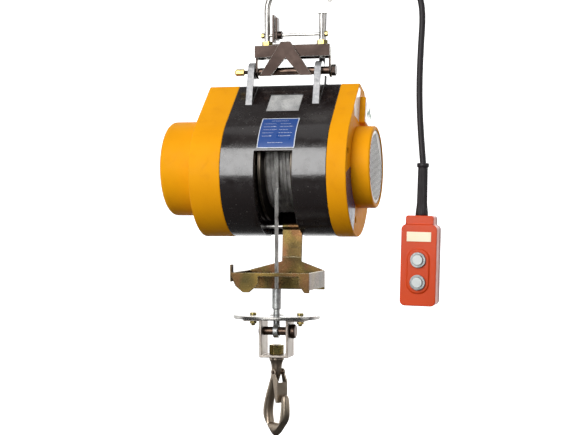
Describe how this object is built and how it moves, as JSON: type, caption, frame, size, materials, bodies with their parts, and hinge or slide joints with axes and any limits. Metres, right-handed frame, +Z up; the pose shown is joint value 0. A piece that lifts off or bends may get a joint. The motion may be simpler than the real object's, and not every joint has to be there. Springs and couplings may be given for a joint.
{
  "type": "electric wire rope hoist",
  "caption": "Small electric wire-rope hoist on a U-bolt hanger, with hook block, limit lever and wired pendant control.",
  "frame": {"origin": "inside top of the U-bolt's arch, where the hoist is hung", "axes": "+Z up; +X along the drum towards the motor's fan; -Y towards the user, the side with the nameplate and rope"},
  "size_m": [0.4316, 0.2303, 0.7413],
  "materials": {
    "black_paint": "gloss black enamel",
    "yellow_paint": "satin yellow paint",
    "zinc_steel": "dark plated steel",
    "bright_steel": "zinc plated",
    "yellow_zinc": "yellow passivated zinc",
    "bronze_steel": "grey-bronze plated forging",
    "rope_steel": "greased galvanised wire",
    "drum_steel": "machined steel",
    "cast_alloy": "cast and machined",
    "blue_plate": "printed aluminium plate",
    "orange_plastic": "moulded",
    "cream_plastic": "moulded",
    "black_rubber": "matt rubber",
    "black_plastic": "moulded"
  },
  "bodies": {
    "hanger": {"hanger_bracket": "zinc_steel", "front_gusset": "zinc_steel", "u_bolt": "bright_steel", "cross_rod": "bright_steel", "long_bolt": "bright_steel", "hanger_nuts": "yellow_zinc", "spacer_tubes": "bright_steel", "cord_arm": "bright_steel", "pendant_cord": "black_rubber", "cord_boot": "black_rubber", "handset_front": "orange_plastic", "handset_rear": "orange_plastic", "handset_screws": "bright_steel", "button_bezels": "bright_steel", "handset_label": "cream_plastic", "contact_block": "black_plastic"},
    "lock": {"locking_lever": "zinc_steel"},
    "hoist": {"main_frame": "black_paint", "left_housing": "yellow_paint", "left_cap": "yellow_paint", "right_housing": "yellow_paint", "terminal_cover": "cast_alloy", "right_cap": "yellow_paint", "vent_grille": "bright_steel", "nameplate": "blue_plate", "window_plate": "cast_alloy", "cord_gland": "black_plastic", "motor_shell": "bright_steel", "housing_screws": "bright_steel", "stator": "drum_steel", "motor_end_shield": "cast_alloy", "run_capacitor": "black_plastic", "bearings": "drum_steel", "gear_plate": "cast_alloy", "brake_coil": "black_plastic", "lever_pin": "bright_steel", "limit_switch": "black_plastic"},
    "drum": {"rope_drum": "drum_steel", "rope_winding": "rope_steel", "drum_gear": "drum_steel"},
    "rotor": {"motor_shaft": "drum_steel", "rotor_core": "drum_steel", "cooling_fan": "black_plastic", "brake_disc": "drum_steel"},
    "lay": {"lay_shaft": "drum_steel", "lay_gear": "drum_steel"},
    "armature": {"brake_armature": "drum_steel"},
    "lever": {"limit_lever": "yellow_zinc"},
    "rope_end": {"rope_run": "rope_steel", "rope_ferrule": "rope_steel"},
    "hook_block": {"stop_plate": "bright_steel", "hook_yoke": "bright_steel", "yoke_bolts": "bright_steel", "block_pin": "bright_steel"},
    "hook": {"hook": "bronze_steel", "shank_nut": "yellow_zinc", "latch_pin": "bronze_steel"},
    "latch": {"hook_latch": "bronze_steel"},
    "up_button": {"up_button": "cream_plastic"},
    "down_button": {"down_button": "cream_plastic"}
  },
  "joints": [
    {"name": "hoist_swing", "type": "hinge", "parent": "hanger", "child": "hoist", "pos_m": [0, 0, -0.137], "axis": [1, 0, 0], "range_deg": [-15, 15], "deforming": ["pendant_cord"]},
    {"name": "lock_swing", "type": "hinge", "parent": "hanger", "child": "lock", "pos_m": [0, 0, -0.079], "axis": [1, 0, 0], "range_deg": [-25, 25]},
    {"name": "drum_spin", "type": "hinge", "parent": "hoist", "child": "drum", "pos_m": [-0.01, -0.00212, -0.29172], "axis": [1, 0, 0], "range_deg": [-10, 110]},
    {"name": "motor_spin", "type": "hinge", "parent": "hoist", "child": "rotor", "pos_m": [-0.01, -0.00212, -0.29172], "axis": [1, 0, 0], "range_deg": [-300, 3200]},
    {"name": "lay_spin", "type": "hinge", "parent": "hoist", "child": "lay", "pos_m": [-0.01, 0.02197, -0.25732], "axis": [1, 0, 0], "range_deg": [-540, 60]},
    {"name": "brake_release", "type": "slide", "parent": "hoist", "child": "armature", "axis": [1, 0, 0], "range_m": [-0.0015, 0.0007], "stiffness_N_per_m": 200},
    {"name": "lever_swing", "type": "hinge", "parent": "hoist", "child": "lever", "pos_m": [-0.01, -0.01994, -0.3853], "axis": [-1, 0, 0], "range_deg": [-2, 12]},
    {"name": "hook_travel", "type": "slide", "parent": "hoist", "child": "rope_end", "axis": [0, 0, -1], "range_m": [-0.014, 0.145], "deforming": ["rope_run"]},
    {"name": "block_tilt", "type": "hinge", "parent": "rope_end", "child": "hook_block", "pos_m": [-0.01, -0.07692, -0.546], "axis": [1, 0, 0], "range_deg": [-6, 6]},
    {"name": "hook_swivel", "type": "hinge", "parent": "hook_block", "child": "hook", "pos_m": [-0.01, -0.07692, -0.6], "axis": [0, 0, 1], "continuous": true},
    {"name": "latch_open", "type": "hinge", "parent": "hook", "child": "latch", "pos_m": [-0.00694, -0.07949, -0.609], "axis": [0.6428, 0.766, 0], "range_deg": [0, 28], "stiffness_Nm_per_rad": 0.03, "springref_deg": -17.19},
    {"name": "up_press", "type": "slide", "parent": "hanger", "child": "up_button", "axis": [0, 1, 0], "range_m": [0, 0.004], "stiffness_N_per_m": 250, "springref_m": -0.002},
    {"name": "down_press", "type": "slide", "parent": "hanger", "child": "down_button", "axis": [0, 1, 0], "range_m": [0, 0.004], "stiffness_N_per_m": 250, "springref_m": -0.002}
  ],
  "couplings": [
    {"joint": "motor_spin", "follows": "drum_spin", "ratio": 29},
    {"joint": "lay_spin", "follows": "drum_spin", "ratio": -4.8333},
    {"joint": "hook_travel", "follows": "drum_spin", "m_per_rad": 0.0748}
  ]
}
